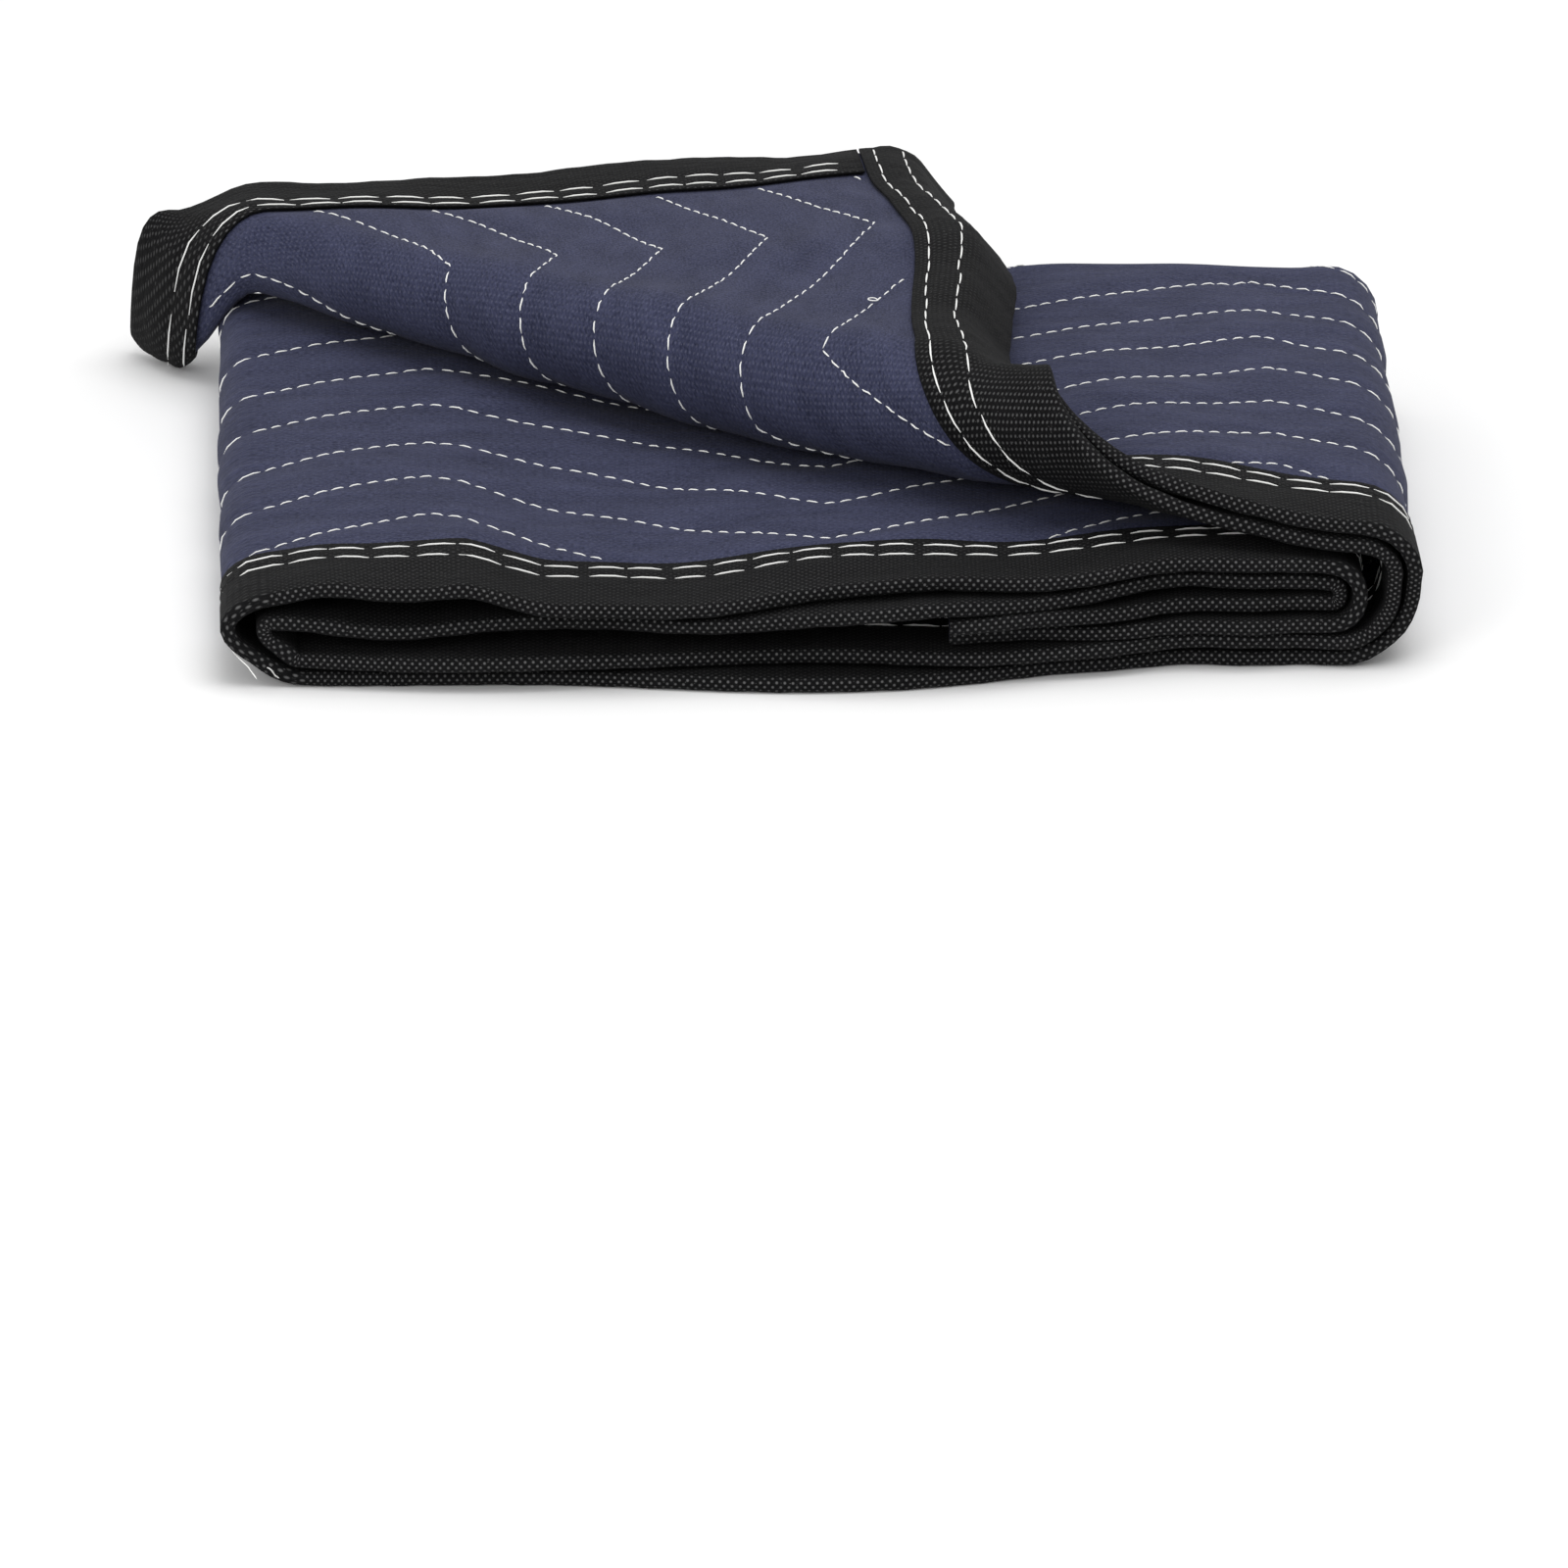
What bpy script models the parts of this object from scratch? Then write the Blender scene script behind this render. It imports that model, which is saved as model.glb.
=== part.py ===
"""A quilted moving blanket, folded into a flat pack, with one corner turned back.

Metres, +Z up. The origin is on the surface that the pack lies on, under its middle.
The cloth is doubled first, with the fold at the back and both long edges at the front, and is
then folded over and over from its right end. A point of the cloth is given by how far it is
along the folded length, how far it is across from the outer ply's front edge, and how high it
is over the middle of its ply, on the side that faces out of the doubled cloth.
"""
import math

import bmesh
import bpy
import numpy as np

# The pack
FRONT = -0.142
BACK = 0.142
PLY = 0.0039
PLY_PITCH = 0.0062
FLOOR_LEVEL = 0.0056

# Quilting: rows of thread that zigzag along the cloth
SEWN_PLY = 0.0030
QUILT_PITCH = 0.0354
QUILT_HALF_WAVE = 0.1220
QUILT_SWING = 0.054
QUILT_TURN = 0.349
OUTER_LAG = 0.043
QUILT_FIRST_ROW = 0.0295

# Binding: a strip folded round each edge of the cloth
BINDING_WIDTH = 0.038
BINDING_THICK = 0.0008
BOUND_PLY = 0.0014
CLEARANCE = 0.0008
EDGE_RAMP = 0.006
BINDING_CELLS = 4

# Middle of the doubled cloth seen from the front, from the turned-back end inwards
FOLDS = (
    # x, z, rounding radius
    (-0.2600, 0.0372, 0.0),
    (-0.0100, 0.0372, 0.200),
    (0.0900, 0.0489, 0.200),
    (0.1790, 0.0489, 0.013),
    (0.1790, FLOOR_LEVEL, 0.020),
    (-0.1685, FLOOR_LEVEL, 0.0062),
    (-0.1870, 0.0225, 0.0062),
    (-0.0500, 0.0225, 0.200),
    (0.0300, 0.0287, 0.200),
    (0.1630, 0.0305, 0.0062),
    (0.1630, 0.0171, 0.0062),
    (0.0330, 0.0171, 0.0),
)
LEAD = 0.005

# How the pack departs from a true one
RIGHT_SETBACK = 0.020
NIP_SETBACK = 0.030
NIP_X = 0.005
NIP_WIDTH = 0.085
CORNER_SAG = 0.007
LEFT_SKEW = 0.021
EDGE_WAVE = 0.0025
LEFT_BULGE = 0.0055
ARCH_HEIGHT = 0.0035
ARCH_X = -0.120
ARCH_WIDTH = 0.045

# The corner turned back over a slanting roll
ROLL_START = (-0.205, 0.161)
ROLL_ANGLE = math.radians(-40.5)
ROLL_LENGTH = 0.415
ROLL_BOW = 0.001
ROLL_RADII = (0.0170, 0.0190, 0.0140)
ROLL_TURN = math.radians(182.5)

# The left end of the turned corner droops beside the pack
DROOP_X = -0.190
DROOP_REACH = 0.045
DROOP = 0.022

# The long edge of the turned corner hangs down along a bend of its own
HEM_WIDTH = 0.031
HEM_RADIUS = 0.014
HEM_TURN = math.radians(45.0)
HEM_FADE = (0.160, 0.270)

# Cell sizes along the cloth
TOP_STEP = 0.0126
LEVEL_STEP = 0.0420
FOLD_STEPS = 6
SNAP = 0.0020

HALF_PITCH = PLY_PITCH / 2
FLAT_DEPTH = BACK - FRONT - HALF_PITCH - PLY / 2
BACK_ARC = math.pi * HALF_PITCH
CLOTH_WIDTH = 2 * FLAT_DEPTH + BACK_ARC


def smooth(value):
    """Ease from 0 to 1 as the value goes from 0 to 1."""
    value = np.clip(value, 0.0, 1.0)
    return value * value * (3.0 - 2.0 * value)


def rounded_path(corners, arc_points=25):
    """Points x, z and heading along a line through the corners, each rounded to its radius."""
    points = [np.array(corner[:2]) for corner in corners]
    heading = 0.0
    rows = [(*points[0], heading)]
    ends = []
    for before, corner, after, spec in zip(points, points[1:], points[2:], corners[1:]):
        radius = spec[2]
        way_in = (corner - before) / np.linalg.norm(corner - before)
        way_out = (after - corner) / np.linalg.norm(after - corner)
        turn = math.atan2(way_in[0] * way_out[1] - way_in[1] * way_out[0], way_in @ way_out)
        reach = radius * math.tan(abs(turn) / 2)
        side = math.copysign(1.0, turn)
        start = corner - way_in * reach
        centre = start + side * radius * np.array((-way_in[1], way_in[0]))
        ends.append(len(rows))
        for step in np.linspace(0.0, turn, arc_points):
            angle = heading + step
            spoke = np.array((math.sin(angle), -math.cos(angle)))
            rows.append((*(centre + side * radius * spoke), angle))
        ends.append(len(rows) - 1)
        heading += turn
    rows.append((*points[-1], heading))
    table = np.array(rows)
    gaps = np.linalg.norm(np.diff(table[:, :2], axis=0), axis=1)
    distance = np.concatenate(((0.0,), np.cumsum(gaps))) - LEAD
    return distance, table, [distance[end] for end in ends]


PATH_DISTANCE, PATH, PATH_BENDS = rounded_path(FOLDS)
CLOTH_LENGTH = PATH_DISTANCE[-1] - LEAD
RIGHT_FOLD = PATH_BENDS[4], PATH_BENDS[7]
LEFT_FOLD = PATH_BENDS[8], PATH_BENDS[11]
INNER_FOLD = PATH_BENDS[16], PATH_BENDS[19]
TOP_END = RIGHT_FOLD[0]


def top_height(x):
    """Height of the top level's middle at x."""
    rows = PATH_DISTANCE < TOP_END
    return np.interp(x, PATH[rows, 0], PATH[rows, 1])


def lay(along, across):
    """Middle of the ply at each point of the cloth, before the corner is turned back."""
    x, z, heading = (np.interp(along, PATH_DISTANCE, column) for column in PATH.T)
    turn = np.clip((across - FLAT_DEPTH) / HALF_PITCH, 0.0, math.pi)
    outer = np.cos(turn)
    y = FRONT + np.minimum(across, FLAT_DEPTH) + HALF_PITCH * np.sin(turn)
    y = y - np.maximum(across - FLAT_DEPTH - BACK_ARC, 0.0)
    near = np.clip((BACK - y) / (BACK - FRONT), 0.0, 1.1)
    inside = smooth((along - TOP_END) / 0.05)

    fold = (along - sum(LEFT_FOLD) / 2) / (LEFT_FOLD[1] - LEFT_FOLD[0])
    bulge = LEFT_BULGE * np.exp(-(1.6 * fold) ** 2) * near * np.maximum(outer, 0.0)
    x = x - np.sin(heading) * (HALF_PITCH * outer + bulge)
    z = z + np.cos(heading) * HALF_PITCH * outer

    on_level = smooth((along - LEFT_FOLD[1] + 0.02) / 0.04) * np.maximum(outer, 0.0)
    arch = np.exp(-((x - ARCH_X) / ARCH_WIDTH) ** 2) * near ** 2
    z = z + ARCH_HEIGHT * arch * on_level * (z > 0.0)
    upper = smooth((z - 0.012) / 0.035) * (1.0 - smooth((along - RIGHT_FOLD[1]) / 0.02))
    z = z - CORNER_SAG * smooth((x - 0.095) / 0.085) * near ** 2 * upper
    y = y + RIGHT_SETBACK * smooth((x - 0.02) / 0.12) * near
    free = near * (1.0 - inside)
    y = y + NIP_SETBACK * np.exp(-((x - NIP_X) / NIP_WIDTH) ** 2) * free
    x = x - LEFT_SKEW * smooth((-0.04 - x) / 0.13) * (1.0 - near) * inside
    shift = outer * inside
    wave = np.sin(along / 0.041 + 1.3 * shift) + 0.6 * np.sin(along / 0.023 + 2.0 * shift)
    y = y + EDGE_WAVE * wave * near ** 3
    return np.stack((x, y, z), axis=-1)


def bend(past, height, radius, turn):
    """Where a point gets to that is past the start of a bend and high over its cloth."""
    angle = np.clip(past / radius, 0.0, turn)
    beyond = past - angle * radius
    arm = radius - height
    reach = arm * np.sin(angle) + beyond * np.cos(angle)
    rise = radius - arm * np.cos(angle) + beyond * np.sin(angle)
    return reach, rise


def turn_back(point, along, across):
    """Bend up the top level's front hem, then roll its free corner over and lay it down flat."""
    x, y, z = point.T
    height = z - top_height(x)
    from_hem = HEM_WIDTH - np.minimum(across, CLOTH_WIDTH - across)
    fade = 1.0 - smooth((along - HEM_FADE[0]) / (HEM_FADE[1] - HEM_FADE[0]))
    reach, height = bend(from_hem, height, HEM_RADIUS, HEM_TURN * fade)
    y = y + from_hem - reach

    way = np.array((math.cos(ROLL_ANGLE), math.sin(ROLL_ANGLE)))
    out = np.array((way[1], -way[0]))
    from_start = np.stack((x - ROLL_START[0], y - ROLL_START[1]), axis=-1)
    down = from_start @ way
    share = np.clip(down / ROLL_LENGTH, 0.0, 1.0)
    bow = ROLL_BOW * np.sin(math.pi * share)
    radius = np.interp(share, (0.0, 0.5, 1.0), ROLL_RADII)
    reach, rise = bend(from_start @ out - bow, height, radius, ROLL_TURN)
    turned_x = ROLL_START[0] + way[0] * down + out[0] * (bow + reach)
    turned_y = ROLL_START[1] + way[1] * down + out[1] * (bow + reach)
    low_part = 1.0 - 0.7 * smooth(rise / (2.0 * radius))
    droop = DROOP * smooth((DROOP_X - turned_x) / DROOP_REACH) * low_part
    turned = np.stack((turned_x, turned_y, top_height(turned_x) + rise - droop), axis=-1)
    return np.where((along < TOP_END)[:, None], turned, point)


def cloth(along, across, height):
    """Place points of the cloth in space, each lifted off the middle of its ply by height."""
    step = 0.0002
    length_way = lay(along + step, across) - lay(along - step, across)
    width_way = lay(along, across + step) - lay(along, across - step)
    normal = np.cross(length_way, width_way)
    normal = normal / np.linalg.norm(normal, axis=-1, keepdims=True)
    raised = lay(along, across) + normal * np.asarray(height)[..., None]
    return turn_back(raised, along, across)


def quilt_swing(along, row):
    """How far a quilting row has swung across the cloth at a distance along it.

    The rows of the outer ply turn later than those of the inner ply.
    """
    turn = QUILT_TURN + OUTER_LAG * (1.0 - smooth((row - FLAT_DEPTH + 0.08) / 0.08))
    return QUILT_SWING * np.abs((along - turn) / QUILT_HALF_WAVE % 2.0 - 1.0)


def quilt_puff(along, across):
    """0 on a quilting row and 1 midway between two rows."""
    row = across - quilt_swing(along, across - QUILT_SWING / 2)
    phase = (row - QUILT_FIRST_ROW) / QUILT_PITCH
    return np.sin(math.pi * phase) ** 2


def quilt_thickness(along, across):
    """Thickness of the cloth, less on a quilting row and least inside the binding."""
    from_side = np.minimum(across, CLOTH_WIDTH - across)
    from_end = np.minimum(along, CLOTH_LENGTH - along)
    ramp = (np.minimum(from_side, from_end) - BINDING_WIDTH) / (2 * EDGE_RAMP)
    quilted = SEWN_PLY + (PLY - SEWN_PLY) * quilt_puff(along, across)
    return BOUND_PLY + (quilted - BOUND_PLY) * np.clip(ramp, 0.0, 1.0)


def edge_cells():
    """Distances from an edge of the cloth of the lines inside its binding."""
    return np.linspace(0.0, BINDING_WIDTH, BINDING_CELLS + 1)


def stations():
    """Distances along the cloth at which the quilted area has a line across it."""
    inset = BINDING_WIDTH + EDGE_RAMP
    waves = QUILT_HALF_WAVE * np.arange(-8, 16)
    inner_turns = QUILT_TURN + waves
    turns = np.sort(np.concatenate((inner_turns[inner_turns < TOP_END], inner_turns + OUTER_LAG)))
    spans = (
        # start, end, step
        (inset, TOP_END, TOP_STEP),
        (*RIGHT_FOLD, (RIGHT_FOLD[1] - RIGHT_FOLD[0]) / FOLD_STEPS),
        (RIGHT_FOLD[1], LEFT_FOLD[0], LEVEL_STEP),
        (*LEFT_FOLD, (LEFT_FOLD[1] - LEFT_FOLD[0]) / (FOLD_STEPS + 1)),
        (LEFT_FOLD[1], INNER_FOLD[0], LEVEL_STEP * 0.75),
        (*INNER_FOLD, (INNER_FOLD[1] - INNER_FOLD[0]) / FOLD_STEPS),
        (INNER_FOLD[1], CLOTH_LENGTH - inset, LEVEL_STEP),
    )
    lines = [inset]
    for start, end, step in spans:
        room = step * 0.3
        marks = [turn for turn in turns if start + room < turn < end - room]
        for low, high in zip([start] + marks, marks + [end]):
            count = max(1, round((high - low) / step))
            lines.extend(np.linspace(low, high, count + 1)[1:])
    return np.array(lines)


def rows_across(along):
    """Distances across the cloth of the rows and crowns at one distance along it."""
    half = QUILT_PITCH / 2
    first = math.floor(-(QUILT_SWING + QUILT_FIRST_ROW) / half)
    last = math.ceil(CLOTH_WIDTH / half)
    rows = QUILT_FIRST_ROW + half * np.arange(first, last + 1)
    return rows + quilt_swing(along, rows)


def back_lines():
    """Distances across the cloth of the lines round the fold at the back."""
    return FLAT_DEPTH + np.linspace(0.0, BACK_ARC, 5)


def get_points(mesh):
    """The points of a flat cloth mesh: along and across."""
    points = np.empty(len(mesh.verts) * 3)
    for index, vert in enumerate(mesh.verts):
        points[3 * index:3 * index + 3] = vert.co
    return points.reshape(-1, 3).T


def cut_across(mesh, across, keep=0):
    """Cut a flat cloth mesh along one line, and clear what lies under it (1) or over it (-1)."""
    for vert in mesh.verts:
        if abs(vert.co.y - across) < SNAP:
            vert.co.y = across
    geometry = mesh.verts[:] + mesh.edges[:] + mesh.faces[:]
    bmesh.ops.bisect_plane(
        mesh, geom=geometry, dist=0.00001, plane_co=(0.0, across, 0.0), plane_no=(0.0, 1.0, 0.0),
        clear_inner=keep > 0, clear_outer=keep < 0)


def grow_edge(mesh, axis, start, lines):
    """Extrude the border that lies on a line of a flat cloth mesh to each further line."""
    for line in lines:
        border = [edge for edge in mesh.edges
                  if edge.is_boundary and all(abs(vert.co[axis] - start) < 1e-6 for vert in edge.verts)]
        grown = bmesh.ops.extrude_edge_only(mesh, edges=border)
        for item in grown["geom"]:
            if isinstance(item, bmesh.types.BMVert):
                item.co[axis] = line
        start = line


def drop_edges(mesh, wanted):
    """Dissolve the inner edges of a flat cloth mesh for which wanted(low, high) is true."""
    chosen = []
    for edge in mesh.edges:
        low, high = (np.array(vert.co) for vert in edge.verts)
        if not edge.is_boundary and wanted(low, high):
            chosen.append(edge)
    bmesh.ops.dissolve_edges(mesh, edges=chosen, use_verts=True)


def split_along_bends(mesh, place):
    """Split each face in triangles, along the diagonal that lies nearest the bent cloth."""
    many = [face for face in mesh.faces if len(face.verts) > 4]
    bmesh.ops.triangulate(mesh, faces=many)
    quads = [face for face in mesh.faces if len(face.verts) == 4]
    corners = np.array([[vert.co for vert in face.verts] for face in quads])
    gaps = []
    for first, second in ((0, 2), (1, 3)):
        middle = (corners[:, first] + corners[:, second]) / 2
        chord = (place(corners[:, first].T) + place(corners[:, second].T)) / 2
        gaps.append(np.linalg.norm(place(middle.T) - chord, axis=1))
    for face, take_second in zip(quads, gaps[1] < gaps[0]):
        offset = 1 if take_second else 0
        bmesh.utils.face_split(face, face.verts[offset], face.verts[offset + 2])


def cloth_object(name, mesh, place, thickness, material, collection):
    """Make an object from a flat cloth mesh: place its points, then give it its thickness."""
    for face in mesh.faces:
        if face.normal.z < 0:
            face.normal_flip()
    split_along_bends(mesh, place)
    flat = get_points(mesh)
    data = bpy.data.meshes.new(name)
    mesh.to_mesh(data)
    mesh.free()
    data.vertices.foreach_set("co", place(flat).ravel())
    data.update()
    data.materials.append(material)
    piece = bpy.data.objects.new(name, data)
    collection.objects.link(piece)
    depth = np.broadcast_to(thickness(flat), flat[0].shape)
    group = piece.vertex_groups.new(name="thickness")
    for index, share in enumerate(depth / depth.max()):
        group.add([index], float(share), "REPLACE")
    solidify = piece.modifiers.new("Solidify", "SOLIDIFY")
    solidify.thickness = float(depth.max())
    solidify.offset = -1.0
    solidify.use_even_offset = True
    solidify.vertex_group = group.name
    return piece


def on_floor(along, across):
    """Whether a point is quilted cloth that lies on the surface under the pack."""
    flat = (along > RIGHT_FOLD[1] - 1e-6) & (along < LEFT_FOLD[0] + 1e-6)
    return flat & (across > BINDING_WIDTH + 0.5 * EDGE_RAMP) & (across < FLAT_DEPTH + 1e-6)


def add_quilted_pad(material, collection):
    """The quilted cloth: one sheet, doubled, folded and turned back."""
    inset = BINDING_WIDTH + EDGE_RAMP
    lines = stations()
    last = len(rows_across(0.0)) - 1
    mesh = bmesh.new()
    bmesh.ops.create_grid(mesh, x_segments=len(lines) - 1, y_segments=last, size=0.5)
    for vert in mesh.verts:
        along = lines[round((vert.co.x + 0.5) * (len(lines) - 1))]
        across = rows_across(along)[round((vert.co.y + 0.5) * last)]
        vert.co = (along, across, 0.0)
    cut_across(mesh, inset, keep=1)
    cut_across(mesh, CLOTH_WIDTH - inset, keep=-1)
    for across in back_lines():
        cut_across(mesh, across)

    cells = edge_cells()[::-1]
    grow_edge(mesh, 1, inset, cells)
    grow_edge(mesh, 1, CLOTH_WIDTH - inset, CLOTH_WIDTH - cells)
    grow_edge(mesh, 0, inset, cells)
    grow_edge(mesh, 0, CLOTH_LENGTH - inset, CLOTH_LENGTH - cells)

    def in_margin(across):
        return across < inset + 1e-6 or across > CLOTH_WIDTH - inset - 1e-6

    def is_spare_crossing(low, high):
        """An edge across the margin that isn't at a station or within an end's binding."""
        along = low[0]
        inner = inset + 1e-6 < along < CLOTH_LENGTH - inset - 1e-6
        return (inner and abs(high[0] - along) < 1e-6 and in_margin(low[1]) and in_margin(high[1])
                and np.abs(lines - along).min() > 1e-6)

    def is_hidden_row(low, high):
        """An edge along the cloth that no one sees, inside the pack or under it."""
        if abs(low[0] - high[0]) < 1e-6 or min(low[0], high[0]) < TOP_END - 1e-6:
            return False
        kept = np.concatenate((back_lines(), (0.0, BINDING_WIDTH, inset)))
        kept = np.concatenate((kept, (CLOTH_WIDTH, CLOTH_WIDTH - BINDING_WIDTH, CLOTH_WIDTH - inset)))
        if abs(low[1] - high[1]) < 1e-6 and np.abs(kept - low[1]).min() < 1e-5:
            return False
        middle = (low + high) / 2
        outer = middle[1] < FLAT_DEPTH
        shows = middle[0] < RIGHT_FOLD[1] or LEFT_FOLD[0] < middle[0] < INNER_FOLD[0]
        return not (outer and shows and not in_margin(middle[1]))

    drop_edges(mesh, is_spare_crossing)
    drop_edges(mesh, is_hidden_row)

    def face_height(along, across):
        free = quilt_thickness(along, across) / 2
        return np.where(on_floor(along, across), FLOOR_LEVEL - HALF_PITCH, free)

    def place(flat):
        return cloth(flat[0], flat[1], face_height(flat[0], flat[1]))

    def thickness(flat):
        return face_height(flat[0], flat[1]) + quilt_thickness(flat[0], flat[1]) / 2

    return cloth_object("quilted_pad", mesh, place, thickness, material, collection)


def binding_section():
    """Outer face of a binding: distance in from the cloth's edge, and height off its middle."""
    half = BOUND_PLY / 2 + CLEARANCE + BINDING_THICK
    cells = edge_cells()
    nose = CLEARANCE + BINDING_THICK + 0.0006
    upper = [(cell, half) for cell in cells[:0:-1]]
    lower = [(cell, -half) for cell in cells[1:]]
    round_edge = [(-0.0006, half), (-nose, half / 2), (-nose, -half / 2), (-0.0006, -half)]
    return np.array(upper + round_edge + lower)[::-1]


def add_binding(name, lines, place_section, material, collection, coarse_from=None):
    """A strip folded round an edge; lines are its cells' distances along that edge."""
    section = binding_section()
    last = len(section) - 1
    mesh = bmesh.new()
    bmesh.ops.create_grid(mesh, x_segments=len(lines) - 1, y_segments=last, size=0.5)
    for vert in mesh.verts:
        line = lines[round((vert.co.x + 0.5) * (len(lines) - 1))]
        vert.co = (line, round((vert.co.y + 0.5) * last), 0.0)

    def is_spare(low, high):
        if coarse_from is None or min(low[0], high[0]) < coarse_from - 1e-6:
            return False
        kept = (0, BINDING_CELLS, BINDING_CELLS + 1, BINDING_CELLS + 2, BINDING_CELLS + 3, last)
        return abs(low[1] - high[1]) < 1e-6 and round(low[1]) not in kept

    drop_edges(mesh, is_spare)

    def place(flat):
        row = np.arange(last + 1)
        inward = np.interp(flat[1], row, section[:, 0])
        height = np.interp(flat[1], row, section[:, 1])
        return place_section(flat[0], inward, height)

    def thickness(flat):
        return np.full(flat[0].shape, BINDING_THICK)

    return cloth_object(name, mesh, place, thickness, material, collection)


def add_side_bindings(material, collection):
    """The strips along the two long edges, both at the front of the pack."""
    cells = edge_cells()
    lines = np.concatenate((cells, stations(), CLOTH_LENGTH - cells[::-1]))

    def outer_edge(line, inward, height):
        return cloth(line, inward, height)

    def inner_edge(line, inward, height):
        return cloth(line, CLOTH_WIDTH - inward, -height)

    add_binding("binding_outer_side", lines, outer_edge, material, collection, TOP_END)
    add_binding("binding_inner_side", lines, inner_edge, material, collection, TOP_END)


def add_end_bindings(material, collection):
    """The strips along the two short edges, fitted between the side strips."""
    room = BINDING_WIDTH + CLEARANCE
    inset = BINDING_WIDTH + EDGE_RAMP

    def end_lines(along):
        rows = rows_across(along)
        rows = rows[(rows > inset + SNAP) & (rows < CLOTH_WIDTH - inset - SNAP)]
        marks = np.concatenate(((inset, CLOTH_WIDTH - inset), back_lines()))
        apart = np.abs(rows[:, None] - marks[None, :]).min(axis=1) > SNAP
        ends = (room, CLOTH_WIDTH - room)
        return np.sort(np.concatenate((rows[apart], marks, ends)))

    def flap_edge(line, inward, height):
        return cloth(inward, line, -height)

    def tail_edge(line, inward, height):
        return cloth(CLOTH_LENGTH - inward, line, height)

    add_binding("binding_flap_end", end_lines(inset), flap_edge, material, collection)
    tail_lines = end_lines(CLOTH_LENGTH - inset)
    add_binding("binding_tail_end", tail_lines, tail_edge, material, collection, 0.0)


def make_material(name, colour, roughness):
    """A plain cloth material."""
    material = bpy.data.materials.new(name)
    material.use_nodes = True
    shader = material.node_tree.nodes["Principled BSDF"]
    shader.inputs["Base Color"].default_value = (*colour, 1.0)
    shader.inputs["Roughness"].default_value = roughness
    shader.inputs["Metallic"].default_value = 0.0
    return material


def main():
    """Empty the scene and build the blanket in a collection of its own."""
    for old in list(bpy.data.objects):
        bpy.data.objects.remove(old)
    collection = bpy.data.collections.new("moving_blanket")
    bpy.context.scene.collection.children.link(collection)
    navy = make_material("navy_quilted_cloth", (0.048, 0.054, 0.127), 0.85)
    black = make_material("black_binding_cloth", (0.011, 0.011, 0.012), 0.80)
    add_quilted_pad(navy, collection)
    add_side_bindings(black, collection)
    add_end_bindings(black, collection)


main()
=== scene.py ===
import math

import bpy
import numpy as np
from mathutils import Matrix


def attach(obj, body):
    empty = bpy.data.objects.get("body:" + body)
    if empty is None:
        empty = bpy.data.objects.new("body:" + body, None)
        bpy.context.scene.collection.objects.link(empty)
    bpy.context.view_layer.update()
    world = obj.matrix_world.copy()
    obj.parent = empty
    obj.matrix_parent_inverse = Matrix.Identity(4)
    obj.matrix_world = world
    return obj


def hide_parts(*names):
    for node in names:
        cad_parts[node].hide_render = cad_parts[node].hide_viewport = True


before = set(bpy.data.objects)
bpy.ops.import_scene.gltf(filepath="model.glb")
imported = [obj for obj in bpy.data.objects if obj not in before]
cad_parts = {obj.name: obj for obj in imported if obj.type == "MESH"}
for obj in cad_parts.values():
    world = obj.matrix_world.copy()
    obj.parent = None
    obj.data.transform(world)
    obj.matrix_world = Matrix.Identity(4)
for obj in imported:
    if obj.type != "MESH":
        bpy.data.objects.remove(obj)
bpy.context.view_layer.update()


# Camera: a long lens from the front, a little above the pack. The blanket stands in the upper
# part of the picture.
camera_data = bpy.data.cameras.new("camera")
camera_data.sensor_width = 36.0
camera_data.lens = 231.2
camera_data.clip_end = 20.0
camera = bpy.data.objects.new("camera", camera_data)
bpy.context.scene.collection.objects.link(camera)
camera_height = math.radians(20.5)
camera.location = (-0.013, -0.227 - 3.03 * math.cos(camera_height), 3.03 * math.sin(camera_height))
camera.rotation_euler = (math.pi / 2 - camera_height, 0.0, 0.0)
bpy.context.scene.camera = camera
bpy.context.scene.view_settings.view_transform = "Standard"


# The folds: the cloth is doubled with its fold at the back, then folded over and over from its
# right end. A point of it is given by along, across from the outer ply's front edge, and height
# off the middle of its ply, towards the outside of the doubled cloth.
FRONT = -0.142
BACK = 0.142
HALF_PITCH = 0.0031
FLAT_DEPTH = BACK - FRONT - HALF_PITCH - 0.00195
BACK_ARC = math.pi * HALF_PITCH
CLOTH_WIDTH = 2 * FLAT_DEPTH + BACK_ARC
FLOOR_LEVEL = 0.0056


def smooth(value):
    """Ease from 0 to 1 as the value goes from 0 to 1: three squares less two cubes."""
    value = np.clip(value, 0.0, 1.0)
    return value * value * (3.0 - 2.0 * value)


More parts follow.
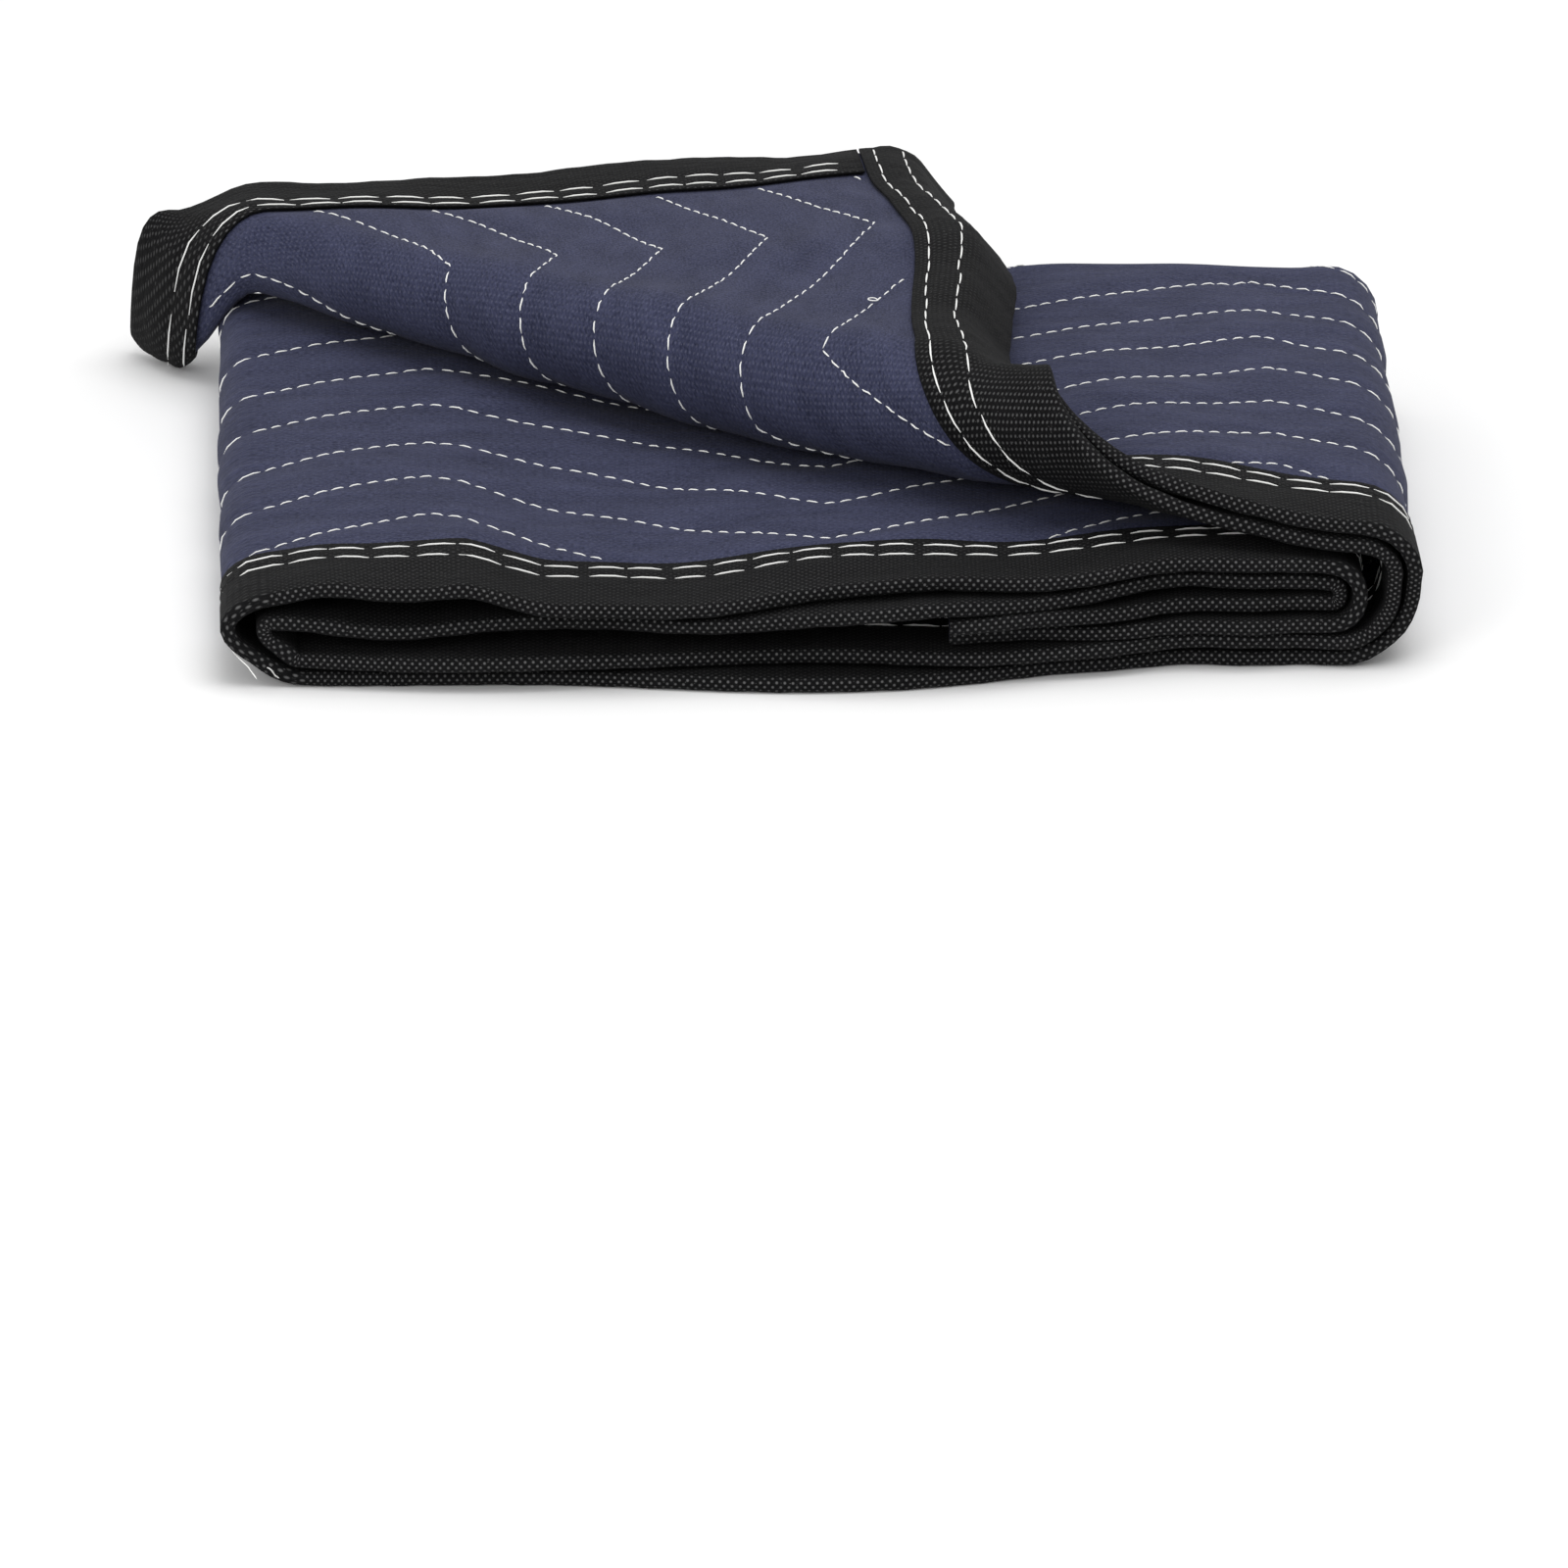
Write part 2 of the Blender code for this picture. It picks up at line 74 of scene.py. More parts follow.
def rounded_path(corners, arc_points=41):
    """Distance, x, z and heading along straight runs joined by arcs of the corners' radii."""
    points = [np.array(corner[:2]) for corner in corners]
    heading = 0.0
    rows = [(*points[0], heading)]
    ends = []
    for before, corner, after, spec in zip(points, points[1:], points[2:], corners[1:]):
        radius = spec[2]
        way_in = (corner - before) / np.linalg.norm(corner - before)
        way_out = (after - corner) / np.linalg.norm(after - corner)
        turn = math.atan2(way_in[0] * way_out[1] - way_in[1] * way_out[0], way_in @ way_out)
        start = corner - way_in * radius * math.tan(abs(turn) / 2)
        side = math.copysign(1.0, turn)
        centre = start + side * radius * np.array((-way_in[1], way_in[0]))
        ends.append(len(rows))
        for step in np.linspace(0.0, turn, arc_points):
            angle = heading + step
            spoke = np.array((math.sin(angle), -math.cos(angle)))
            rows.append((*(centre + side * radius * spoke), angle))
        ends.append(len(rows) - 1)
        heading += turn
    rows.append((*points[-1], heading))
    table = np.array(rows)
    gaps = np.linalg.norm(np.diff(table[:, :2], axis=0), axis=1)
    distance = np.concatenate(((0.0,), np.cumsum(gaps))) - 0.005
    return distance, table, [distance[end] for end in ends]


PATH_DISTANCE, PATH, PATH_BENDS = rounded_path((
    # x, z, rounding radius
    (-0.2545, 0.0372, 0.0),
    (-0.0100, 0.0372, 0.200),
    (0.0900, 0.0489, 0.200),
    (0.1790, 0.0489, 0.013),
    (0.1790, FLOOR_LEVEL, 0.020),
    (-0.1685, FLOOR_LEVEL, 0.0062),
    (-0.1870, 0.0225, 0.0062),
    (-0.0500, 0.0225, 0.200),
    (0.0300, 0.0287, 0.200),
    (0.1630, 0.0305, 0.0062),
    (0.1630, 0.0171, 0.0062),
    (0.0330, 0.0171, 0.0),
))
CLOTH_LENGTH = PATH_DISTANCE[-1] - 0.005
RIGHT_FOLD = PATH_BENDS[4], PATH_BENDS[7]
LEFT_FOLD = PATH_BENDS[8], PATH_BENDS[11]
INNER_FOLD = PATH_BENDS[16], PATH_BENDS[19]
TOP_END = RIGHT_FOLD[0]


def top_height(x):
    """Height of the top level's middle at x, read from the path."""
    rows = PATH_DISTANCE < TOP_END
    return np.interp(x, PATH[rows, 0], PATH[rows, 1])


def sway(along, y):
    """Soft unevenness of a doubled level: four sines of the place, each in its own direction."""
    waves = (
        # metres high, along, across, phase
        (0.00045, 62.0, 41.0, 0.3),
        (0.00035, -47.0, 88.0, 1.9),
        (0.00030, 121.0, 23.0, 4.0),
        (0.00022, 96.0, -134.0, 2.6),
    )
    total = 0.0
    for high, u, v, phase in waves:
        total = total + high * np.sin(u * along + v * y + phase)
    return total


def lay(along, across):
    """Middle of the ply, with the corner still flat: the path gives x and z, the doubling y.

    The outer ply lies half a ply pitch outside the path and the inner ply as far inside it, plus
    the levels' unevenness. To that are added: a bulge of the left fold's front, an arch and a
    crease in the level that shows at the left, a sag of the upper levels' right end, the front
    edge set back at the right and before the roll, the free end's back set back, the pack's back
    drawn askew, the lower left corner set in, and small waves and pleats of the front edges.
    """
    x, z, heading = (np.interp(along, PATH_DISTANCE, column) for column in PATH.T)
    turn = np.clip((across - FLAT_DEPTH) / HALF_PITCH, 0.0, math.pi)
    outer = np.cos(turn)
    y = FRONT + np.minimum(across, FLAT_DEPTH) + HALF_PITCH * np.sin(turn)
    y = y - np.maximum(across - FLAT_DEPTH - BACK_ARC, 0.0)
    near = np.clip((BACK - y) / (BACK - FRONT), 0.0, 1.1)
    inside = smooth((along - TOP_END) / 0.05)

    fold = (along - sum(LEFT_FOLD) / 2) / (LEFT_FOLD[1] - LEFT_FOLD[0])
    bulge = 0.0055 * np.exp(-(1.6 * fold) ** 2) * near * np.maximum(outer, 0.0)
    on_floor = smooth((along - RIGHT_FOLD[1] + 0.03) / 0.03)
    on_floor = on_floor * (1.0 - smooth((along - LEFT_FOLD[0]) / 0.03))
    uneven = sway(along, y) * (1.0 - on_floor)
    x = x - np.sin(heading) * (HALF_PITCH * outer + bulge + uneven)
    z = z + np.cos(heading) * (HALF_PITCH * outer + uneven)

    on_level = smooth((along - LEFT_FOLD[1] + 0.02) / 0.04) * np.maximum(outer, 0.0)
    arch = 0.0065 * smooth((x + 0.190) / 0.045) * (1.0 - smooth((x + 0.114) / 0.032)) * near ** 1.3
    crease = 0.0007 * np.exp(-np.abs((x + 0.112) / 0.005))
    z = z + (arch + crease) * on_level * (z > 0.0)
    upper = smooth((z - 0.012) / 0.035) * (1.0 - smooth((along - RIGHT_FOLD[1]) / 0.02))
    z = z - 0.0070 * smooth((x - 0.095) / 0.085) * near ** 2 * upper
    y = y + 0.020 * smooth((x - 0.02) / 0.12) * near
    y = y + 0.036 * np.exp(-((x - 0.012) / 0.095) ** 2) * near * (1.0 - inside)
    y = y + 0.030 * smooth((0.090 - along) / 0.090) * smooth((y + 0.05) / 0.19)
    left = smooth((0.10 - x) / 0.25)
    right = smooth((x + 0.05) / 0.20)
    y = y + (0.020 * left - 0.010 * right) * (1.0 - near)
    z = z + (0.004 * left - 0.003 * right) * (1.0 - near) * smooth(z / 0.025)
    x = x - 0.021 * smooth((-0.04 - x) / 0.13) * (1.0 - near) * inside
    x = x + 0.006 * smooth((-0.12 - x) / 0.06) * (1.0 - smooth(z / 0.024)) * near ** 2
    shift = outer * inside
    wave = np.sin(along / 0.041 + 1.3 * shift) + 0.6 * np.sin(along / 0.023 + 2.0 * shift)
    y = y + 0.0030 * wave * near ** 3
    z = z + 0.0008 * np.sin(x / 0.016 + 0.8) * near ** 6 * smooth((z - 0.004) / 0.010)
    low = 1.0 - smooth((z - 0.030) / 0.010)
    pleat = np.sin(x / 0.0052 + 2.0 * np.sin(x / 0.031)) * np.exp(-((x - 0.115) / 0.045) ** 2)
    y = y + 0.0012 * pleat * low * near ** 8
    return np.stack((x, y, z), axis=-1)


def bend(past, height, radius, turn):
    """Reach and rise of a point past the start of a bend: round an arc, then straight on."""
    angle = np.clip(past / radius, 0.0, turn)
    beyond = past - angle * radius
    arm = radius - height
    reach = arm * np.sin(angle) + beyond * np.cos(angle)
    rise = radius - arm * np.cos(angle) + beyond * np.sin(angle)
    return reach, rise


def turn_back(point, along, across):
    """Bend up the top level's front hem, then roll its free corner over a slanting line.

    The roll is a bend of a little over half a turn, its radius read from three values along the
    line. The turned part rises away from the line, and droops at the far left, where its reach
    to the left is pressed together.
    """
    x, y, z = np.moveaxis(point, -1, 0)
    height = z - top_height(x)
    from_hem = 0.031 - np.minimum(across, CLOTH_WIDTH - across)
    fade = 1.0 - smooth((along - 0.200) / 0.110)
    reach, height = bend(from_hem, height, 0.014, math.radians(53.0) * fade)
    y = y + from_hem - reach

    start = -0.205, 0.165
    slope = math.radians(-39.9)
    way = math.cos(slope), math.sin(slope)
    out = way[1], -way[0]
    down = (x - start[0]) * way[0] + (y - start[1]) * way[1]
    past = (x - start[0]) * out[0] + (y - start[1]) * out[1]
    share = np.clip(down / 0.415, 0.0, 1.0)
    bow = 0.006 * np.sin(math.pi * share)
    radius = np.interp(share, (0.0, 0.5, 1.0), (0.0125, 0.0160, 0.0160))
    reach, rise = bend(past - bow, height, radius, math.radians(185.8))
    turned_x = start[0] + way[0] * down + out[0] * (bow + reach)
    turned_y = start[1] + way[1] * down + out[1] * (bow + reach)

    lift = smooth((turned_x + 0.200) / 0.200) * smooth((past - bow - math.pi * radius) / 0.130)
    lift = 0.010 * lift
    upper = smooth(rise / (2.0 * radius))
    droop = 0.0354 * smooth((-0.188 - turned_x) / 0.032) * (1.0 - 0.7 * upper)
    over = np.maximum(-0.205 - turned_x, 0.0)
    turned_x = turned_x + over - over / (1.0 + over / 0.09)
    turned = np.stack((turned_x, turned_y, top_height(turned_x) + rise + lift - droop), axis=-1)
    return np.where((along < TOP_END)[..., None], turned, point)


def cloth(along, across, height):
    """Places points: the ply's middle, moved along its normal by height, then the turned corner."""
    along, across, height = np.broadcast_arrays(along, across, height)
    step = 0.0002
    length_way = lay(along + step, across) - lay(along - step, across)
    width_way = lay(along, across + step) - lay(along, across - step)
    normal = np.cross(length_way, width_way)
    normal = normal / np.linalg.norm(normal, axis=-1, keepdims=True)
    return turn_back(lay(along, across) + normal * height[..., None], along, across)


# Non-woven cloth as two groups of masks: the staggered bond points that press the fibres
# together, and the felt-like grain and flecks of the fibres themselves.
def new_group(name, inputs, outputs):
    """An empty shader node group with named float or vector sockets."""
    tree = bpy.data.node_groups.new(name, "ShaderNodeTree")
    for socket, kind in inputs:
        tree.interface.new_socket(socket, in_out="INPUT", socket_type=kind)
    for socket, kind in outputs:
        tree.interface.new_socket(socket, in_out="OUTPUT", socket_type=kind)
    return tree, tree.nodes.new("NodeGroupInput"), tree.nodes.new("NodeGroupOutput")


def maths(tree, operation, *values, clamp=False):
    """A maths node fed by sockets or numbers; returns its output."""
    node = tree.nodes.new("ShaderNodeMath")
    node.operation = operation
    node.use_clamp = clamp
    for socket, value in zip(node.inputs, values):
        if isinstance(value, (int, float)):
            socket.default_value = value
        else:
            tree.links.new(value, socket)
    return node.outputs[0]


dots_tree, dots_in, dots_out = new_group(
    "bond_dots",
    (("UV", "NodeSocketVector"), ("Pitch", "NodeSocketFloat"), ("Row gap", "NodeSocketFloat"),
     ("Radius", "NodeSocketFloat")),
    (("Mask", "NodeSocketFloat"),))
split = dots_tree.nodes.new("ShaderNodeSeparateXYZ")
dots_tree.links.new(dots_in.outputs["UV"], split.inputs[0])
row = maths(dots_tree, "DIVIDE", split.outputs["Y"], dots_in.outputs["Row gap"])
stagger = maths(dots_tree, "MULTIPLY", maths(dots_tree, "FLOOR", row), 0.5)
column = maths(dots_tree, "DIVIDE", split.outputs["X"], dots_in.outputs["Pitch"])
column = maths(dots_tree, "ADD", column, stagger)
offset_u = maths(dots_tree, "SUBTRACT", maths(dots_tree, "FRACT", column), 0.5)
offset_v = maths(dots_tree, "SUBTRACT", maths(dots_tree, "FRACT", row), 0.5)
offset_u = maths(dots_tree, "MULTIPLY", offset_u, dots_in.outputs["Pitch"])
offset_v = maths(dots_tree, "MULTIPLY", offset_v, dots_in.outputs["Row gap"])
squares = maths(dots_tree, "ADD", maths(dots_tree, "POWER", maths(dots_tree, "ABSOLUTE", offset_u), 2.0),
                maths(dots_tree, "POWER", maths(dots_tree, "ABSOLUTE", offset_v), 2.0))
share = maths(dots_tree, "DIVIDE", maths(dots_tree, "SQRT", squares), dots_in.outputs["Radius"])
mask = maths(dots_tree, "SUBTRACT", 1.6, maths(dots_tree, "MULTIPLY", share, 1.2), clamp=True)
dots_tree.links.new(mask, dots_out.inputs["Mask"])

grain_tree, grain_in, grain_out = new_group(
    "fibre_grain",
    (("Place", "NodeSocketVector"), ("Scale", "NodeSocketFloat")),
    (("Fine", "NodeSocketFloat"), ("Broad", "NodeSocketFloat"), ("Fleck", "NodeSocketFloat")))
for socket, factor, detail in (("Fine", 1.0, 4.0), ("Broad", 0.06, 3.0), ("Fleck", 1.7, 1.0)):
    noise = grain_tree.nodes.new("ShaderNodeTexNoise")
    noise.inputs["Detail"].default_value = detail
    noise.inputs["Roughness"].default_value = 0.65
    grain_tree.links.new(grain_in.outputs["Place"], noise.inputs["Vector"])
    scale = maths(grain_tree, "MULTIPLY", grain_in.outputs["Scale"], factor)
    grain_tree.links.new(scale, noise.inputs["Scale"])
    grain_tree.links.new(noise.outputs["Fac"], grain_out.inputs[socket])


def cloth_material(name, dark, light, glint_and_fleck_colour, painted_glint_share, roughness, sheen, gloss):
    """Non-woven cloth: grain moves the colour between dark and light. Painted glint: the bond points
    are painted a pale colour where the surface faces the eye, and the fibre flecks take it too."""
    material = bpy.data.materials.new(name)
    material.use_nodes = True
    tree = material.node_tree
    shader = tree.nodes["Principled BSDF"]
    uv = tree.nodes.new("ShaderNodeUVMap")
    uv.uv_map = "cloth"
    dots = tree.nodes.new("ShaderNodeGroup")
    dots.node_tree = dots_tree
    tree.links.new(uv.outputs["UV"], dots.inputs["UV"])
    dots.inputs["Pitch"].default_value = 0.0025
    dots.inputs["Row gap"].default_value = 0.00135
    dots.inputs["Radius"].default_value = 0.00042
    grain = tree.nodes.new("ShaderNodeGroup")
    grain.node_tree = grain_tree
    stretch = tree.nodes.new("ShaderNodeVectorMath")
    stretch.operation = "MULTIPLY"
    stretch.inputs[1].default_value = (1.0, 2.2, 1.0)
    tree.links.new(uv.outputs["UV"], stretch.inputs[0])
    tree.links.new(stretch.outputs["Vector"], grain.inputs["Place"])
    grain.inputs["Scale"].default_value = 620.0

    tone = maths(tree, "ADD", grain.outputs["Fine"], maths(tree, "MULTIPLY", grain.outputs["Broad"], 0.4))
    tone = maths(tree, "MULTIPLY", maths(tree, "SUBTRACT", tone, 0.50), 2.5, clamp=True)
    base = tree.nodes.new("ShaderNodeMix")
    base.data_type = "RGBA"
    base.inputs["A"].default_value = (*dark, 1.0)
    base.inputs["B"].default_value = (*light, 1.0)
    tree.links.new(tone, base.inputs["Factor"])

    # Painted glint: a pale colour is mixed into the base colour on the bond points where the surface
    # faces the eye, in place of the light they reflect.
    weight = tree.nodes.new("ShaderNodeLayerWeight")
    weight.inputs["Blend"].default_value = 0.5
    glint_facing = maths(tree, "POWER", maths(tree, "SUBTRACT", 1.0, weight.outputs["Facing"]), 1.5)
    glint_and_fleck = maths(tree, "MULTIPLY", glint_facing, painted_glint_share)
    glint_and_fleck = maths(tree, "MULTIPLY", dots.outputs["Mask"], glint_and_fleck)
    colour = tree.nodes.new("ShaderNodeMix")
    colour.data_type = "RGBA"
    colour.inputs["B"].default_value = (*glint_and_fleck_colour, 1.0)
    # The fibres' own pale flecks are mixed in with the same pale colour.
    fleck = maths(tree, "SUBTRACT", grain.outputs["Fleck"], 0.68)
    fleck = maths(tree, "MULTIPLY", fleck, 9.0, clamp=True)
    glint_and_fleck = maths(tree, "MAXIMUM", glint_and_fleck, maths(tree, "MULTIPLY", fleck, 0.45))
    tree.links.new(glint_and_fleck, colour.inputs["Factor"])
    tree.links.new(base.outputs["Result"], colour.inputs["A"])
    tree.links.new(colour.outputs["Result"], shader.inputs["Base Color"])

    shader.inputs["Roughness"].default_value = roughness
    shader.inputs["Specular IOR Level"].default_value = gloss
    shader.inputs["Sheen Weight"].default_value = sheen
    shader.inputs["Sheen Roughness"].default_value = 0.5
    bump = tree.nodes.new("ShaderNodeBump")
    bump.inputs["Strength"].default_value = 0.5
    bump.inputs["Distance"].default_value = 0.00035
    dent = maths(tree, "MULTIPLY", dots.outputs["Mask"], 0.5)
    surface = maths(tree, "SUBTRACT", grain.outputs["Fine"], dent)
    tree.links.new(surface, bump.inputs["Height"])
    wrinkle = tree.nodes.new("ShaderNodeBump")
    wrinkle.inputs["Strength"].default_value = 0.5
    wrinkle.inputs["Distance"].default_value = 0.0030
    tree.links.new(grain.outputs["Broad"], wrinkle.inputs["Height"])
    tree.links.new(wrinkle.outputs["Normal"], bump.inputs["Normal"])
    tree.links.new(bump.outputs["Normal"], shader.inputs["Normal"])
    return material


# The quilted pad: one sheet of navy cloth, puffed between the zigzag rows and pulled thin along
# them, and flat inside the edge strips.
STRIP = 0.038
ROW_PITCH = 0.0354
ROW_GAPS = np.repeat((ROW_PITCH, 0.0410, 0.0343), (8, 3, 9))
QUILT_ROWS = 0.0295 - 3 * ROW_PITCH + np.concatenate(((0.0,), np.cumsum(ROW_GAPS)))


def quilt_swing(along, row):
    """How far a quilting row has swung across: straight zigzags, later on the outer ply."""
    turn = 0.351 + 0.041 * (1.0 - smooth((row - FLAT_DEPTH + 0.08) / 0.08))
    slant = 0.018 * smooth((along - 0.45) / 0.40)
    return 0.054 * np.abs((along - turn) / 0.122 % 2.0 - 1.0) - slant


def shell(name, outer, inner, uv):
    """A closed mesh from two grids of points, an outer and an inner face, joined all round."""
    count_u, count_v = outer.shape[:2]
    points = np.concatenate((outer.reshape(-1, 3), inner.reshape(-1, 3)))
    index = np.arange(count_u * count_v).reshape(count_u, count_v)
    under = index + count_u * count_v
    grid = (index[:-1, :-1], index[1:, :-1], index[1:, 1:], index[:-1, 1:])
    faces = [np.stack(grid, -1).reshape(-1, 4)]
    faces.append(np.stack(grid[::-1], -1).reshape(-1, 4) + count_u * count_v)
    rim = np.concatenate((index[:-1, 0], index[-1, :-1], index[:0:-1, -1], index[0, :0:-1]))
    low = np.concatenate((under[:-1, 0], under[-1, :-1], under[:0:-1, -1], under[0, :0:-1]))
    faces.append(np.stack((rim, low, np.roll(low, -1), np.roll(rim, -1)), -1))
    loops = np.concatenate(faces)
    uv_all = np.concatenate((uv.reshape(-1, 2), uv.reshape(-1, 2)))
    return solid(name, points, loops, uv_all)


def solid(name, points, quads, uv=None):
    """An object from points and four-sided faces, shaded smooth, with its own UV in metres."""
    mesh = bpy.data.meshes.new(name)
    mesh.vertices.add(len(points))
    mesh.vertices.foreach_set("co", np.ascontiguousarray(points, dtype=np.float32).ravel())
    mesh.loops.add(quads.size)
    mesh.loops.foreach_set("vertex_index", quads.ravel().astype(np.int32))
    mesh.polygons.add(len(quads))
    mesh.polygons.foreach_set("loop_start", np.arange(0, quads.size, 4, dtype=np.int32))
    mesh.polygons.foreach_set("use_smooth", np.ones(len(quads), dtype=bool))
    mesh.update(calc_edges=True)
    if uv is not None:
        layer = mesh.uv_layers.new(name="cloth")
        layer.data.foreach_set("uv", uv[quads.ravel()].astype(np.float32).ravel())
    piece = bpy.data.objects.new(name, mesh)
    bpy.context.scene.collection.objects.link(piece)
    return piece


def pad_height(along, across):
    """Half thickness: flat in the strips, full between rows, and a narrow dip on each row."""
    from_side = np.minimum(across, CLOTH_WIDTH - across)
    from_end = np.minimum(along, CLOTH_LENGTH - along)
    from_edge = np.minimum(from_side, from_end)
    row = across - quilt_swing(along, across - 0.027)
    number = np.interp(row, QUILT_ROWS, np.arange(len(QUILT_ROWS)))
    from_row = ROW_PITCH * np.abs(number - np.round(number))
    dip = np.exp(-(from_row / 0.0036) ** 2)
    crown = 0.0018 + 0.0003 * np.sin(math.pi * from_row / ROW_PITCH)
    ramp = smooth((from_edge - STRIP) / 0.007)
    return 0.0007 + (crown - 0.0005 * dip - 0.0007) * ramp


def spread(*spans):
    """Grid lines over joined spans, each with its own largest step."""
    lines = [spans[0][0]]
    for start, end, step in spans:
        lines.extend(np.linspace(start, end, max(1, math.ceil((end - start) / step)) + 1)[1:])
    return np.array(lines)


pad_along = spread(
    (0.0, TOP_END, 0.0036),
    (*RIGHT_FOLD, 0.0040),
    (RIGHT_FOLD[1], LEFT_FOLD[0], 0.0085),
    (*LEFT_FOLD, 0.0016),
    (LEFT_FOLD[1], INNER_FOLD[0], 0.0036),
    (*INNER_FOLD, 0.0025),
    (INNER_FOLD[1], CLOTH_LENGTH, 0.0100))
pad_across = spread(
    (0.0, STRIP, 0.0095),
    (STRIP, FLAT_DEPTH, 0.0036),
    (FLAT_DEPTH, FLAT_DEPTH + BACK_ARC, 0.0013),
    (FLAT_DEPTH + BACK_ARC, CLOTH_WIDTH - STRIP, 0.0036),
    (CLOTH_WIDTH - STRIP, CLOTH_WIDTH, 0.0095))
pad_u, pad_v = np.meshgrid(pad_along, pad_across, indexing="ij")
floor_run = (pad_u > RIGHT_FOLD[1]) & (pad_u < LEFT_FOLD[0])
resting = floor_run & (pad_v < FLAT_DEPTH) & (pad_v > STRIP)
pad_out = np.where(resting, FLOOR_LEVEL - HALF_PITCH, pad_height(pad_u, pad_v))
quilted_pad = shell(
    "blanket_quilted_pad",
    cloth(pad_u, pad_v, pad_out),
    cloth(pad_u, pad_v, -pad_height(pad_u, pad_v)),
    np.stack((pad_u, pad_v), axis=-1))
# The third colour is a painted glint on the bond points, also used for the fibre flecks.
navy_cloth = cloth_material(
    "navy_cloth", (0.0125, 0.0145, 0.0340), (0.0500, 0.0545, 0.1030), (0.22, 0.23, 0.30),
    painted_glint_share=0.20, roughness=0.85, sheen=0.03, gloss=0.12)
quilted_pad.data.materials.append(navy_cloth)
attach(quilted_pad, "root")
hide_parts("quilted_pad")


# The edge strips: black cloth folded round each edge, a little drawn in along its two sewn rows
# and puckered between the stitches.
def strip_section():
    """Distance in from the edge and height of a strip's outer and inner face, edge in the middle."""
    flat = np.linspace(STRIP, 0.0, 17)
    angle = np.linspace(90.0, -90.0, 9)[1:-1] * math.pi / 180.0
    inward = np.concatenate((flat, -0.0014 * np.cos(angle), flat[::-1]))
    side = np.concatenate((np.ones(17), np.sin(angle), -np.ones(17)))
    return inward, side


# The third colour is a painted glint on the bond points, also used for the fibre flecks.
black_cloth = cloth_material(
    "black_cloth", (0.0012, 0.0012, 0.0014), (0.0070, 0.0070, 0.0076), (0.20, 0.20, 0.20),
    painted_glint_share=0.50, roughness=0.80, sheen=0.01, gloss=0.08)


def edge_strip(name, node, lines, place):
    """A strip swept along an edge: its section, lifted by puckers that run across it."""
    inward, side = strip_section()
    line, inward = np.meshgrid(lines, inward, indexing="ij")
    side = np.broadcast_to(side, line.shape)
    sewn = np.exp(-((inward - 0.0335) / 0.0022) ** 2) + np.exp(-((inward - 0.0250) / 0.0022) ** 2)
    pucker = np.sin(2 * math.pi * line / 0.013) + 0.7 * np.sin(2 * math.pi * line / 0.0197 + 1.0)
    lift = 0.00012 * pucker * smooth((STRIP - inward) / 0.01) - 0.00035 * sewn
    outer = place(line, inward, side * (0.0023 + lift))
    inner = place(line, np.maximum(inward, -0.0006), side * (0.0015 + lift))
    steps = np.hypot(np.diff(inward[0]), 0.0023 * np.diff(side[0]))
    wrap = np.concatenate(((0.0,), np.cumsum(steps)))
    uv = np.stack(np.broadcast_arrays(line, wrap[None, :]), axis=-1)
    piece = shell(name, outer, inner, uv)
    piece.data.materials.append(black_cloth)
    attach(piece, "root")
    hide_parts(node)
    return piece


side_lines = spread(
    (0.0, TOP_END, 0.0040),
    (*RIGHT_FOLD, 0.0040),
    (RIGHT_FOLD[1], LEFT_FOLD[0], 0.0045),
    (*LEFT_FOLD, 0.0016),
    (LEFT_FOLD[1], INNER_FOLD[0], 0.0040),
    (*INNER_FOLD, 0.0025),
    (INNER_FOLD[1], CLOTH_LENGTH, 0.0060))
end_lines = spread(
    (STRIP + 0.0008, FLAT_DEPTH, 0.0040),
    (FLAT_DEPTH, FLAT_DEPTH + BACK_ARC, 0.0013),
    (FLAT_DEPTH + BACK_ARC, CLOTH_WIDTH - STRIP - 0.0008, 0.0040))
outer_strip = edge_strip(
    "blanket_binding_outer_side", "binding_outer_side", side_lines,
    lambda line, inward, height: cloth(line, inward, -height))
inner_strip = edge_strip(
    "blanket_binding_inner_side", "binding_inner_side", side_lines,
    lambda line, inward, height: cloth(line, CLOTH_WIDTH - inward, height))
flap_strip = edge_strip(
    "blanket_binding_flap_end", "binding_flap_end", end_lines,
    lambda line, inward, height: cloth(inward, line, height))
tail_strip = edge_strip(
    "blanket_binding_tail_end", "binding_tail_end", end_lines,
    lambda line, inward, height: cloth(CLOTH_LENGTH - inward, line, -height))


